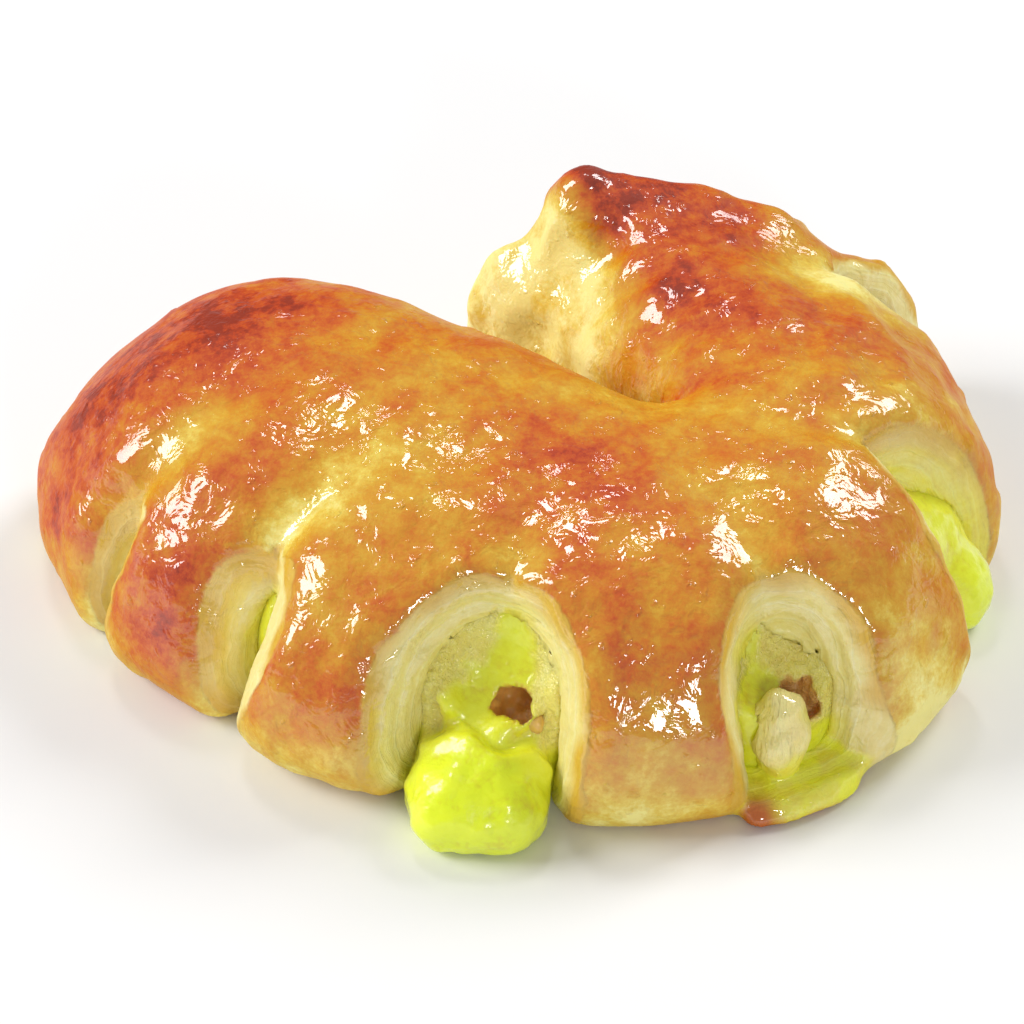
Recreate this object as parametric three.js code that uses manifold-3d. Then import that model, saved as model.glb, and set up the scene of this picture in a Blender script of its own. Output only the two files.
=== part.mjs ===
// Danish pastry: a filled log slit along one side and bent so that seven fingers fan out.
// Millimetres, +Z up, resting on Z = 0. The log is described along a bent middle line:
// t runs along the log, d points out to the finger tips, z is height.
import * as THREE from 'three';
import Module from 'manifold-3d';

const wasm = await Module();
wasm.setup();

// ---- middle line ----
const LINE_START = [-65.7, 80.3];
const LINE_HEADING = -28.3;
const LINE_TURN = 149.3;
const BEND_FROM = 68.2;
const BEND_TO = 173.7;
const LINE_MIN = -40;
const LINE_MAX = 230;
const LINE_STEP = 0.3;

// ---- log section: stations along the log and the value at each ----
const MID_HEIGHT = 10;
const LOWER_DEPTH = 16;
const HEIGHT = {
  at: [-8, 5, 20, 40, 95, 125, 160, 182, 205],
  value: [29, 36, 42.2, 43.5, 41, 43, 42.5, 44, 52],
};
const OUTER = {
  at: [-8, 8, 20, 32, 44, 52, 62, 72, 82, 92, 102, 112, 120, 129, 144, 156, 168, 182, 190, 205],
  value: [
    22, 26, 33.2, 37, 38.8, 42.6, 43.8, 42.8, 39.5, 37.5,
    35, 33.5, 30.5, 28, 26.5, 26, 28, 30, 29, 27,
  ],
};
const INNER = { at: [-8, 30, 75, 95, 120, 150, 175, 205], value: [22, 29, 28, 27, 25, 28, 32, 32] };
const LEAN = { at: [-8, 30, 60, 95, 125, 160, 190], value: [6, 12, 12, 8, 7, 11, 15] };
const INNER_POWER = { at: [145, 180], value: [2.4, 1.15] };
const OUTER_POWER = { at: [150, 182], value: [2.6, 2.0] };
const LOWER_POWER = 2.6;
const LEAN_POWER = 1.4;
const START_END = -8.2;
const FINISH_END = 197;
const START_ROUND = 30;
const FINISH_ROUND = 15;
const START_POWER = 2.3;
const FINISH_POWER = 4.2;
const END_SKEW = 0.6;
const SKEW_FROM = 140;
const SKEW_TO = 200;

// ---- slits: inner end, heading, half width at its reach, how the width grows,
// depth of the valley above and share of the width at the foot ----
const SLITS = [
  { x: -56.8, y: 50.3, heading: -150, half: 5.5, reach: 13, curve: 0.62, valley: 3, foot: 0.25 },
  { x: -35.4, y: 34.6, heading: -134, half: 7.5, reach: 14, curve: 0.6, valley: 3.2, foot: 0.25 },
  { x: -0.3, y: 23.4, heading: -107, half: 15.3, reach: 15, curve: 0.55, valley: 1.8, foot: 0.8 },
  { x: 36.9, y: 23.8, heading: -63, half: 13, reach: 15, curve: 0.55, valley: 1.8, foot: 0.7 },
  { x: 53.5, y: 50.8, heading: -7, half: 12.5, reach: 18, curve: 0.75, valley: 2, foot: 0.8 },
  { x: 52, y: 98.5, heading: 16, half: 5, reach: 18, curve: 0.6, valley: 2, foot: 0.15 },
];
const SLIT_LENGTH = 48;
const SLIT_FULL_HEIGHT = 20;
const SLIT_TOP_HEIGHT = 26;

// ---- custard: a core along the log and swellings in the slits ----
const CORE_OUT = 3;
const CORE_HEIGHT = 14.5;
const CORE_HALF_WIDTH = 16;
const CORE_HALF_HEIGHT = 10.5;
const CORE_FROM = 34;
const CORE_FROM_ROUND = 22;
const CORE_TO = 166;
const CORE_TO_ROUND = 18;
const GAP = 0.35;
const SWELLINGS = [
  { at: [-55, 57.2, 10.5], heading: -150, radii: [5.5, 3.2, 11] },
  { at: [-33, 36.5, 10.5], heading: -128, radii: [6.5, 5, 12.5] },
  { at: [-0.9, 25, 11.5], heading: -106, radii: [13, 17, 16.5] },
  { at: [-4, 15, 5], heading: -100, radii: [10.5, 10.5, 9.5] },
  { at: [-5, 8, 5.5], heading: -90, radii: [10, 9.7, 7.8] },
  { at: [-10, 6.2, 4.6], heading: -90, radii: [7.2, 5.4, 6.4] },
  { at: [-0.4, 5.8, 4.6], heading: -90, radii: [7.2, 5, 6.4] },
  { at: [36.5, 26, 11], heading: -66, radii: [12, 14, 16] },
  { at: [33.6, 20.5, 14], heading: -70, radii: [5.5, 4.5, 10] },
  { at: [54, 52, 12], heading: -12, radii: [11.5, 11, 15] },
  { at: [63.5, 57.5, 8.5], heading: -28, radii: [9, 7, 10.5] },
  { at: [68.6, 54, 5.5], heading: -28, radii: [6.6, 6.6, 7.5] },
  { at: [50, 99.3, 11], heading: 16, radii: [6.5, 4, 11] },
];
// Dips in the top of the custard, so that it climbs the walls of its slit.
const HOLLOWS = [
  { at: [-3, 14.2, 33], heading: -104, radii: [9.4, 14, 18] },
  { at: [40.8, 16, 32], heading: -63, radii: [10, 12.5, 17.5] },
];
const AIR_POCKETS = [
  { at: [0.9, 17, 14.6], heading: -60, radii: [4.2, 3, 3] },
  { at: [42.2, 18.2, 14.6], heading: -66, radii: [3.6, 3.2, 3.4] },
  { at: [44.8, 13.8, 13.6], heading: -50, radii: [3.6, 1.8, 3.2] },
];

// ---- small dough forms ----
const ROLLED_LIP = { at: [0, 109.5, 14.5], heading: 120, radii: [9, 7, 15.5] };
const UPPER_FOLD = { at: [11, 108.5, 27], heading: 120, radii: [8, 7, 20] };
const LAST_FINGER_BULGE = { at: [57, 106.5, 16], heading: 20, radii: [10, 9, 13] };
const CREST_KNOB = { at: [41.8, 108.5, 32.5], heading: 0, radii: [4, 4, 6.2] };
const TORN_LUMP = { at: [39.8, 15.2, 10.6], heading: -66, radii: [4, 4, 8] };
const FLAP_OUTLINE = [[30, 18], [33.5, 7.8], [36, 5.6], [43.6, 7.8], [52, 13.6], [53.5, 20], [44, 28]];
const FLAP_FRONT = 5.5;
const FLAP_THICKNESS = 2.8;
const FLAP_RISE = 0.22;

// ---- facets ----
const LOG_STATIONS = 78;
const LOG_AROUND = 36;
const CORE_STATIONS = 27;
const CORE_AROUND = 14;

const radians = THREE.MathUtils.degToRad;

function smooth(value, from, to) {
  return THREE.MathUtils.smoothstep(value, from, to);
}

function ramp(table, t) {
  const { at, value } = table;
  if (t <= at[0]) return value[0];
  for (let i = 1; i < at.length; i += 1) {
    if (t <= at[i]) return THREE.MathUtils.mapLinear(t, at[i - 1], at[i], value[i - 1], value[i]);
  }
  return value[value.length - 1];
}

// A station table read with its corners rounded off.
function along(table, t) {
  const weights = [1, 2, 3, 2, 1];
  let sum = 0;
  weights.forEach((weight, i) => { sum += weight * ramp(table, t + (i - 2) * 5); });
  return sum / 9;
}

// Middle line as a row of points with headings.
function traceLine() {
  const rows = [];
  let x = 0;
  let y = 0;
  let before = null;
  for (let s = LINE_MIN; s <= LINE_MAX + 1e-6; s += LINE_STEP) {
    const heading = radians(LINE_HEADING + LINE_TURN * smooth(s, BEND_FROM, BEND_TO));
    if (before !== null) {
      x += (Math.cos(heading) + Math.cos(before)) / 2 * LINE_STEP;
      y += (Math.sin(heading) + Math.sin(before)) / 2 * LINE_STEP;
    }
    before = heading;
    rows.push([x, y, heading]);
  }
  const zero = rows[Math.round(-LINE_MIN / LINE_STEP)];
  const shift = [LINE_START[0] - zero[0], LINE_START[1] - zero[1]];
  return rows.map(([px, py, heading]) => [px + shift[0], py + shift[1], heading]);
}

const LINE = traceLine();

function toPlan(s, d) {
  const place = THREE.MathUtils.clamp((s - LINE_MIN) / LINE_STEP, 0, LINE.length - 2);
  const i = Math.floor(place);
  const k = place - i;
  const [x, y, heading] = LINE[i].map((value, j) => value + (LINE[i + 1][j] - value) * k);
  return [x + Math.sin(heading) * d, y - Math.cos(heading) * d];
}

// Distance along the line for a station t, whose face slants at the far end.
function lineDistance(t, d) {
  let s = t;
  for (let i = 0; i < 14; i += 1) s = t - END_SKEW * d * smooth(s, SKEW_FROM, SKEW_TO);
  return s;
}

function signedPower(value, power) {
  return Math.sign(value) * Math.abs(value) ** power;
}

// Depth of the valleys that run from the slits up to the crest.
function valleyDepth(x, y, z) {
  let depth = 0;
  for (const slit of SLITS) {
    const angle = radians(slit.heading);
    const out = (x - slit.x) * Math.cos(angle) + (y - slit.y) * Math.sin(angle);
    const side = -(x - slit.x) * Math.sin(angle) + (y - slit.y) * Math.cos(angle);
    const spread = 4 + 0.12 * THREE.MathUtils.clamp(-out, 0, 40);
    depth += slit.valley * smooth(out, -30, 0) * Math.exp(-((side / spread) ** 2));
  }
  return depth * THREE.MathUtils.clamp((z - 8) / 12, 0, 1);
}

function logPoint(t, angle) {
  const fromStart = (START_END + START_ROUND - t) / START_ROUND;
  const fromFinish = (t - FINISH_END + FINISH_ROUND) / FINISH_ROUND;
  const endShare = Math.max(0, fromStart, fromFinish);
  const endPower = t < 90 ? START_POWER : FINISH_POWER;
  const size = Math.max(0, 1 - endShare ** endPower) ** (1 / endPower);
  const c = Math.cos(angle);
  const n = Math.sin(angle);
  const upper = c < 0 ? along(INNER_POWER, t) : along(OUTER_POWER, t);
  const power = n < 0 ? LOWER_POWER : Math.min(upper, LOWER_POWER);
  const u = size * signedPower(c, 2 / power);
  const v = size * signedPower(n, 2 / power);
  const height = v > 0 ? along(HEIGHT, t) - MID_HEIGHT : LOWER_DEPTH;
  const lean = along(LEAN, t) * Math.max(v, 0) ** LEAN_POWER;
  let d = u * (c < 0 ? along(INNER, t) : along(OUTER, t)) - lean;
  let z = MID_HEIGHT + v * height;
  const flat = toPlan(lineDistance(t, d), d);
  const depth = valleyDepth(flat[0], flat[1], z);
  const length = Math.hypot(d + lean / 2, z - MID_HEIGHT) + 1e-6;
  d -= depth * (d + lean / 2) / length;
  z -= depth * (z - MID_HEIGHT) / length;
  const [x, y] = toPlan(lineDistance(t, d), d);
  return [x, y, z];
}

function corePoint(t, place, angle, grow) {
  const endShare = Math.max(0, (CORE_FROM - t) / CORE_FROM_ROUND, (t - CORE_TO) / CORE_TO_ROUND);
  const size = Math.sqrt(Math.max(0, 1 - endShare ** 2));
  const d = CORE_OUT + size * (CORE_HALF_WIDTH + grow) * Math.cos(angle);
  const z = CORE_HEIGHT + size * (CORE_HALF_HEIGHT + grow) * Math.sin(angle);
  const [x, y] = toPlan(lineDistance(place, d), d);
  return [x, y, z];
}

// Closed body through a row of equal rings, with a flat fan at each end.
function loftBody(rings) {
  const count = rings[0].length;
  const positions = rings.flat(2);
  const index = [];
  for (let i = 0; i + 1 < rings.length; i += 1) {
    for (let j = 0; j < count; j += 1) {
      const k = (j + 1) % count;
      const a = i * count;
      index.push(a + j, a + k, a + count + k, a + j, a + count + k, a + count + j);
    }
  }
  for (const [ring, flip] of [[0, true], [rings.length - 1, false]]) {
    const middle = [0, 1, 2].map((axis) => rings[ring].reduce((sum, p) => sum + p[axis], 0) / count);
    const tip = positions.length / 3;
    positions.push(...middle);
    for (let j = 0; j < count; j += 1) {
      const a = ring * count + j;
      const b = ring * count + (j + 1) % count;
      index.push(...(flip ? [tip, b, a] : [tip, a, b]));
    }
  }
  return solidFrom(new Float32Array(positions), new Uint32Array(index));
}

function solidFrom(vertProperties, triVerts) {
  const solid = new wasm.Manifold(new wasm.Mesh({ numProp: 3, vertProperties, triVerts }));
  if (solid.volume() > 0) return solid;
  const turned = triVerts.slice().reverse();
  return new wasm.Manifold(new wasm.Mesh({ numProp: 3, vertProperties, triVerts: turned }));
}

function solidOf(geometry) {
  const rings = geometry.getAttribute('position');
  const key = new Map();
  const positions = [];
  const remap = [];
  for (let i = 0; i < rings.count; i += 1) {
    const point = [rings.getX(i), rings.getY(i), rings.getZ(i)];
    const name = point.map((value) => Math.round(value * 1e4)).join(' ');
    if (!key.has(name)) {
      key.set(name, positions.length / 3);
      positions.push(...point);
    }
    remap.push(key.get(name));
  }
  const index = [];
  for (let i = 0; i < geometry.index.count; i += 3) {
    const face = [0, 1, 2].map((j) => remap[geometry.index.getX(i + j)]);
    if (new Set(face).size === 3) index.push(...face);
  }
  return solidFrom(new Float32Array(positions), new Uint32Array(index));
}

// Egg-shaped body: radii along its heading, across it and up.
function swelling(form, grow = 0, around = 15, rows = 9) {
  const geometry = new THREE.SphereGeometry(1, around, rows);
  geometry.rotateX(Math.PI / 2);
  geometry.scale(...form.radii.map((radius) => radius + grow));
  geometry.rotateZ(radians(form.heading));
  geometry.translate(...form.at);
  return solidOf(geometry);
}

function stationRow(from, to, count) {
  const row = [];
  for (let i = 0; i < count; i += 1) {
    const share = i / (count - 1);
    row.push(from + (to - from) * (share - Math.sin(share * Math.PI * 2) * 0.08));
  }
  return row;
}

function ringAngles(count) {
  return Array.from({ length: count }, (_, i) => (i + 0.5) / count * Math.PI * 2);
}

function logBody() {
  const angles = ringAngles(LOG_AROUND);
  const stations = stationRow(START_END + 0.15, FINISH_END - 0.1, LOG_STATIONS);
  return loftBody(stations.map((t) => angles.map((angle) => logPoint(t, angle))));
}

function coreBody(grow) {
  const angles = ringAngles(CORE_AROUND);
  const from = CORE_FROM - CORE_FROM_ROUND + 0.1;
  const to = CORE_TO + CORE_TO_ROUND - 0.1;
  const middle = (from + to) / 2;
  const stretch = 1 + 2 * grow / (to - from);
  const stations = stationRow(from, to, CORE_STATIONS);
  return loftBody(stations.map((t) => angles.map((angle) => {
    return corePoint(t, middle + (t - middle) * stretch, angle, grow);
  })));
}

function slitBody(slit) {
  const angle = radians(slit.heading);
  const levels = [-3, 0, 5, 10, 15, SLIT_FULL_HEIGHT, SLIT_TOP_HEIGHT, 62];
  const steps = 7;
  const rings = levels.map((level) => {
    const rise = (THREE.MathUtils.clamp(level, 0, SLIT_TOP_HEIGHT) / SLIT_FULL_HEIGHT) ** 1.5;
    const share = slit.foot + (1 - slit.foot) * rise;
    const ring = [];
    for (let i = -steps; i <= steps; i += 1) {
      const out = SLIT_LENGTH * (Math.abs(i) / steps) ** 2;
      const side = Math.sign(i) * slit.half * (out / slit.reach) ** slit.curve * share;
      const x = slit.x + out * Math.cos(angle) - side * Math.sin(angle);
      const y = slit.y + out * Math.sin(angle) + side * Math.cos(angle);
      ring.push([x, y, level]);
    }
    return ring;
  });
  return loftBody(rings);
}

function flapBody() {
  const low = FLAP_OUTLINE.map(([x, y]) => [x, y, 0]);
  const high = FLAP_OUTLINE.map(([x, y]) => [x, y, FLAP_THICKNESS + FLAP_RISE * (y - FLAP_FRONT)]);
  return loftBody([low, high]);
}

function groundBody() {
  const geometry = new THREE.BoxGeometry(300, 300, 40);
  geometry.translate(0, 50, -20);
  return solidOf(geometry);
}

function joined(bodies) {
  return bodies.reduce((sum, body) => sum.add(body));
}

function custardBody(grow) {
  const full = joined([coreBody(grow), ...SWELLINGS.map((form) => swelling(form, grow))]);
  return HOLLOWS.reduce((body, form) => body.subtract(swelling(form, -grow, 18, 12)), full);
}

function toMesh(solid, name, colour, roughness, shift) {
  const data = solid.getMesh();
  const geometry = new THREE.BufferGeometry();
  geometry.setAttribute('position', new THREE.BufferAttribute(new Float32Array(data.vertProperties), 3));
  geometry.setIndex(new THREE.BufferAttribute(new Uint32Array(data.triVerts), 1));
  geometry.translate(...shift);
  geometry.computeVertexNormals();
  const material = new THREE.MeshStandardMaterial({ color: colour, roughness, metalness: 0 });
  const mesh = new THREE.Mesh(geometry, material);
  mesh.name = name;
  return mesh;
}

const ground = groundBody();
let custard = custardBody(0).subtract(ground);
for (const pocket of AIR_POCKETS) custard = custard.subtract(swelling(pocket, 0, 12, 8));

const bulges = [ROLLED_LIP, UPPER_FOLD, LAST_FINGER_BULGE].map((form) => swelling(form));
let dough = joined([logBody(), ...bulges, swelling(CREST_KNOB, 0, 10, 7)]);
for (const slit of SLITS) dough = dough.subtract(slitBody(slit));
dough = dough.add(flapBody()).add(swelling(TORN_LUMP, 0, 12, 8));
dough = dough.subtract(custardBody(GAP)).subtract(ground);

// Origin: middle of the overall box in plan, resting height.
const boxes = [dough.boundingBox(), custard.boundingBox()];
const middle = [0, 1].map((axis) => {
  const low = Math.min(...boxes.map((box) => box.min[axis]));
  const high = Math.max(...boxes.map((box) => box.max[axis]));
  return (low + high) / 2;
});
const shift = [-middle[0], -middle[1], 0];

const group = new THREE.Group();
group.name = 'danish_pastry';
group.add(toMesh(dough, 'dough', 0xd98a35, 0.35, shift));
group.add(toMesh(custard, 'custard', 0xcfe03a, 0.3, shift));

export default group;
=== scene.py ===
"""Danish pastry: glazed dough fingers round a custard filling, dressed over the CAD frame.

Forms are worked out in millimetres in the same drawing coordinates as the CAD part and meshed
from signed fields; only the finished vertices are turned into metres in the frame's axes.
"""
import functools
import math
from collections import namedtuple

import bpy
import numpy as np
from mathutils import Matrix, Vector


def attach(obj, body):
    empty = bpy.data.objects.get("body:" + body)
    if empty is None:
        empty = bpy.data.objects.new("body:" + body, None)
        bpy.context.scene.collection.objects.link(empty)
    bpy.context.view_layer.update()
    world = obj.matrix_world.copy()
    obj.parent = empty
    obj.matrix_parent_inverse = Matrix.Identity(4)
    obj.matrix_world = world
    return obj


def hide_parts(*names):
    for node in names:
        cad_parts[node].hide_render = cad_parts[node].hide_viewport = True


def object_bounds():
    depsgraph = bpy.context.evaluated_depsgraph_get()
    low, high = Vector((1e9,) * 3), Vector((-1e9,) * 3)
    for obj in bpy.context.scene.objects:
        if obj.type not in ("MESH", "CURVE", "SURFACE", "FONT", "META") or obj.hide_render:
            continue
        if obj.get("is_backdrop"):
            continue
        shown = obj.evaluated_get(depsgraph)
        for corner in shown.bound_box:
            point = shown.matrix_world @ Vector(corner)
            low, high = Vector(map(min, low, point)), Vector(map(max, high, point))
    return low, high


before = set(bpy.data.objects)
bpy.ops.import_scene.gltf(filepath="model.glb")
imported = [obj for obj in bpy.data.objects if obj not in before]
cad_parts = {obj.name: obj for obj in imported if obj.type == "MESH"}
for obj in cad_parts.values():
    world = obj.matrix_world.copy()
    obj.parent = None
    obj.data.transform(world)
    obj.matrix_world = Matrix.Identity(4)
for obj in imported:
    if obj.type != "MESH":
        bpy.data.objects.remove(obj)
CAD_LOW, CAD_HIGH = (np.array(corner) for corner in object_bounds())

MM = 0.001
PLAN_MIDDLE = np.array([0.816, 58.051, 0.0])  # drawing point that is the frame's origin
# How far the fine surface would pass the CAD box at its low and high sides, and how far before a
# side it starts to be drawn in, in millimetres.
PAST_BOX = np.array([(0.25, 0.90, 0.0), (0.60, 0.85, 1.30)])
DRAWN_IN_OVER = 12.0

# ---------------------------------------------------------------- sizes, in millimetres
# The middle line of the log in plan: where station 0 lies, its heading there and its whole turn in
# degrees, the stations between which it bends, and the first and last stations traced.
LINE_START = (-65.7, 80.3)
LINE_HEADING = -28.3
LINE_TURN = 149.3
BEND = (68.2, 173.7)
LINE_ENDS = (-40.0, 230.0)
LINE_POINTS = 901

# The log's section: tables of stations and the measure there. Its upper part leans towards the
# inside of the bend, and the powers say how square it is (2 is an ellipse).
MID_HEIGHT = 10.0
LOWER_DEPTH = 16.0
HEIGHT = ([-8, 5, 20, 40, 95, 125, 160, 182, 205], [29, 36, 42.2, 43.5, 41, 43, 42.5, 44, 52])
OUTER = (
    [-8, 8, 20, 32, 44, 52, 62, 72, 82, 92, 102, 112, 120, 129, 144, 156, 168, 182, 190, 205],
    [22, 26, 33.2, 37, 38.8, 42.6, 43.8, 42.8, 39.5, 37.5, 35, 33.5, 30.5, 28, 26.5, 26, 28, 30, 29, 27],
)
INNER = ([-8, 30, 75, 95, 120, 150, 175, 205], [22, 29, 28, 27, 25, 28, 32, 32])
LEAN = ([-8, 30, 60, 95, 125, 160, 190], [6, 12, 12, 8, 7, 11, 15])
INNER_POWER = ([145, 180], [2.4, 1.15])
OUTER_POWER = ([150, 182], [2.6, 2.0])
LOWER_POWER = 2.6
LEAN_POWER = 1.4
# Each end: its station, the length over which it rounds off and how squarely. The last one is cut
# at a slant: END_SKEW stations for each millimetre outwards, fading in over SKEW_RANGE.
START_END, START_ROUND, START_POWER = -8.2, 30.0, 2.3
FINISH_END, FINISH_ROUND, FINISH_POWER = 197.0, 15.0, 4.2
END_SKEW, SKEW_RANGE = 0.6, (140, 200)

# Slits cut in from the outer side: x and y of the inner end, heading outwards, half width at
# `reach` from that end, power by which the width grows, depth of the valley above, share of the
# width at the foot and rounding of the edges. `rim` is the side where crumb shows past the edge,
# -1 or 1, or 0 where both sides are alike.
Slit = namedtuple("Slit", "x y heading half reach curve valley foot rounding rim")
SLITS = [
    Slit(-56.8, 50.3, -150, 5.5, 13, 0.62, 3.0, 0.25, 5.0, 1),
    Slit(-35.4, 34.6, -134, 7.5, 14, 0.60, 3.2, 0.25, 5.0, 1),
    Slit(-0.3, 23.4, -107, 15.3, 15, 0.55, 1.8, 0.80, 4.5, 0),
    Slit(36.9, 23.8, -63, 13.0, 15, 0.55, 1.8, 0.70, 4.5, 0),
    Slit(53.5, 50.8, -7, 12.5, 18, 0.75, 2.0, 0.80, 5.0, -1),
    Slit(52.0, 98.5, 16, 5.0, 18, 0.60, 2.0, 0.15, 5.0, 1),
]
FRONT_SLITS, SIDE_SLIT = SLITS[2:4], SLITS[4]
SLIT_FULL_HEIGHT, SLIT_TOP_HEIGHT = 20.0, 26.0  # where a slit has its full width and stops widening
TOASTED = 4.5  # toasted depth of the walls where both sides are alike; twice that opposite a rim
PALE_RIM = 1.6  # the same at a rim
RIM_SHIFT = 2.0  # how far crumb shows past the edge at a rim, and stops short of it opposite one
CRUMB_FLARE = 2.0  # how far it shows past both edges at the foot where both sides are alike
SOAKED, SOAKED_AT_SIDE = 3.4, 6.0  # how far custard soaks into crumb, and how much more at the side

CORE_OUT, CORE_HEIGHT = 3.0, 14.5
CORE_HALF_WIDTH, CORE_HALF_HEIGHT = 16.0, 10.5
CORE_FROM, CORE_FROM_ROUND = 34.0, 22.0
CORE_TO, CORE_TO_ROUND = 166.0, 18.0
BASE_ROUNDING = 1.6
OVERLAP = 0.3  # the dough closes over the custard by this much, so no gap shows
# Radii over which forms blend into each other.
DOUGH_BLEND, FLAP_BLEND, LUMP_BLEND = 7, 1.5, 1
SWELLING_BLEND, HOLLOW_BLEND, POCKET_BLEND = 3, 1.5, 0.5
# Custard that swells out into the slits. Every table of swellings, hollows and pockets holds the
# centre's x, y and z, a heading, and the radius along it, across it and up.
SWELLINGS = [
    (-55.0, 57.2, 10.5, -150, 5.5, 3.2, 11.0),
    (-33.0, 36.5, 10.5, -128, 6.5, 5.0, 12.5),
    (-0.9, 25.0, 11.5, -106, 13.0, 17.0, 16.5),
    (-4.0, 15.0, 5.0, -100, 10.5, 10.5, 9.5),
    (-5.0, 8.0, 5.5, -90, 10.0, 9.7, 7.8),
    (-10.0, 6.2, 4.6, -90, 7.2, 5.4, 6.4),
    (-0.4, 5.8, 4.6, -90, 7.2, 5.0, 6.4),
    (36.5, 26.0, 11.0, -66, 12.0, 14.0, 16.0),
    (33.6, 20.5, 14.0, -70, 5.5, 4.5, 10.0),
    (54.0, 52.0, 12.0, -12, 11.5, 11.0, 15.0),
    (63.5, 57.5, 8.5, -28, 9.0, 7.0, 10.5),
    (68.6, 54.0, 5.5, -28, 6.6, 6.6, 7.5),
    (50.0, 99.3, 11.0, 16, 6.5, 4.0, 11.0),
]
# Dips in the top of the custard, so that it climbs the walls of its slit.
HOLLOWS = [
    (-3.0, 14.2, 33.0, -104, 9.4, 14.0, 18.0),
    (40.8, 16.0, 32.0, -63, 10.0, 12.5, 17.5),
]
# Places round which the crumb shows further out: x, y, z, radius, how far its edge moves.
BARE_PLACES = [
    (51.0, 16.0, 7.0, 7.0, 7.0),
    (66.0, 42.0, 10.0, 6.0, 4.0),
    (56.0, 92.0, 35.0, 7.0, 3.0),
]
# Torn air pockets in the custard, and how ragged they are.
POCKET_RAGGEDNESS = 0.7
AIR_POCKETS = [
    (0.9, 17.0, 14.6, -60, 4.2, 3.0, 3.0),
    (42.2, 18.2, 14.6, -66, 3.6, 3.2, 3.4),
    (44.8, 13.8, 13.6, -50, 3.6, 1.8, 3.2),
]
# Rolled lip at the tall end, the fold above it, the bulge of the last finger and the knob on the
# crest of the arm.
DOUGH_SWELLINGS = [
    (0.0, 109.5, 14.5, 120, 9.0, 7.0, 15.5),
    (11.0, 108.5, 27.0, 120, 8.0, 7.0, 20.0),
    (57.0, 106.5, 16.0, 20, 10.0, 9.0, 13.0),
    (41.8, 108.5, 32.5, 0, 4.0, 4.0, 6.2),
]
# The torn lump of dough in the right-hand front slit, and the flat tongue of dough under it.
TORN_LUMP = (39.8, 15.2, 10.6, -66, 4.0, 4.0, 8.0)
FLAP_OUTLINE = [(30, 18), (33.5, 7.8), (36.0, 5.6), (43.6, 7.8), (52.0, 13.6), (53.5, 20), (44, 28)]
FLAP_FRONT, FLAP_THICKNESS, FLAP_RISE = 5.5, 2.8, 0.22
BURNT_AT = FLAP_OUTLINE[2]

# The grids that the surfaces are found on: corners and spacing.
DOUGH_GRID = (-80.0, -3.0, -2.0), (80.0, 121.0, 53.0)
CUSTARD_GRID = (-64.0, -3.0, -2.0), (80.0, 110.0, 30.0)
DOUGH_VOXEL = 0.92
CUSTARD_VOXEL = 0.6
POINTS_AT_ONCE = 20000  # keeps the search for the nearest station small in memory
NOISE_CELLS = 32  # the noise repeats after so many lumps


# ---------------------------------------------------------------- small maths
def smooth(value, low, high):
    """0 at `low`, 1 at `high`, smooth between; `low` may be the larger of the two."""
    share = np.clip((value - low) / (high - low), 0, 1)
    return share * share * (3 - 2 * share)


def along(table, t):
    """A station table read with its corners rounded off."""
    weights = (1, 2, 3, 2, 1)
    return sum(w * np.interp(t + 5 * (i - 2), *table) for i, w in enumerate(weights)) / 9


def smooth_max(a, b, radius):
    """The larger of two fields, with the corner between them rounded."""
    blend = np.maximum(radius - np.abs(a - b), 0) / radius
    return np.maximum(a, b) + blend * blend * radius / 4


def smooth_min(a, b, radius):
    return -smooth_max(-a, -b, radius)


def lattice_noise(points, size, seed):
    """Smooth noise in -1..1 whose lumps are about `size` across (a number or one per axis)."""
    table = np.random.default_rng(seed).uniform(-1, 1, [NOISE_CELLS] * 3)
    place = points / np.asarray(size, float)
    cell = np.floor(place).astype(int)
    part = place - cell
    part = part * part * (3 - 2 * part)
    total = 0.0
    for corner in np.ndindex(2, 2, 2):
        at = (cell + corner) % NOISE_CELLS
        weight = np.prod(np.where(corner, part, 1 - part), axis=1)
        total = total + weight * table[at[:, 0], at[:, 1], at[:, 2]]
    return total


# ---------------------------------------------------------------- the bent middle line
def trace_line():
    """Stations along the middle line, with the plan point and the heading at each."""
    s = np.linspace(*LINE_ENDS, LINE_POINTS)
    heading = np.radians(LINE_HEADING + LINE_TURN * smooth(s, *BEND))
    step = s[1] - s[0]
    x = np.concatenate([[0], np.cumsum((np.cos(heading[1:]) + np.cos(heading[:-1])) / 2) * step])
    y = np.concatenate([[0], np.cumsum((np.sin(heading[1:]) + np.sin(heading[:-1])) / 2) * step])
    x += LINE_START[0] - np.interp(0, s, x)
    y += LINE_START[1] - np.interp(0, s, y)
    return s, x, y, heading


LINE = trace_line()


def line_coordinates(x, y):
    """Distance along the middle line and distance out from it, for flat arrays of plan points."""
    s, line_x, line_y, heading = LINE
    along_line = np.empty(x.size)
    outward = np.empty(x.size)
    for start in range(0, x.size, POINTS_AT_ONCE):
        part = slice(start, start + POINTS_AT_ONCE)
        gap = (x[part, None] - line_x) ** 2 + (y[part, None] - line_y) ** 2
        nearest = gap.argmin(axis=1)
        cos, sin = np.cos(heading[nearest]), np.sin(heading[nearest])
        dx, dy = x[part] - line_x[nearest], y[part] - line_y[nearest]
        along_line[part] = s[nearest] + dx * cos + dy * sin
        outward[part] = dx * sin - dy * cos
    return along_line, outward


class Places:
    """Points given by x, y, z and by their place in the log: station t and distance out d."""

    def __init__(self, x, y, z):
        self.x, self.y, self.z = x, y, z
        flat = np.broadcast_arrays(x, y)
        s, d = line_coordinates(flat[0].ravel(), flat[1].ravel())
        self.d = d.reshape(flat[0].shape)
        s = s.reshape(flat[0].shape)
        self.t = s + END_SKEW * self.d * smooth(s, *SKEW_RANGE)


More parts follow.
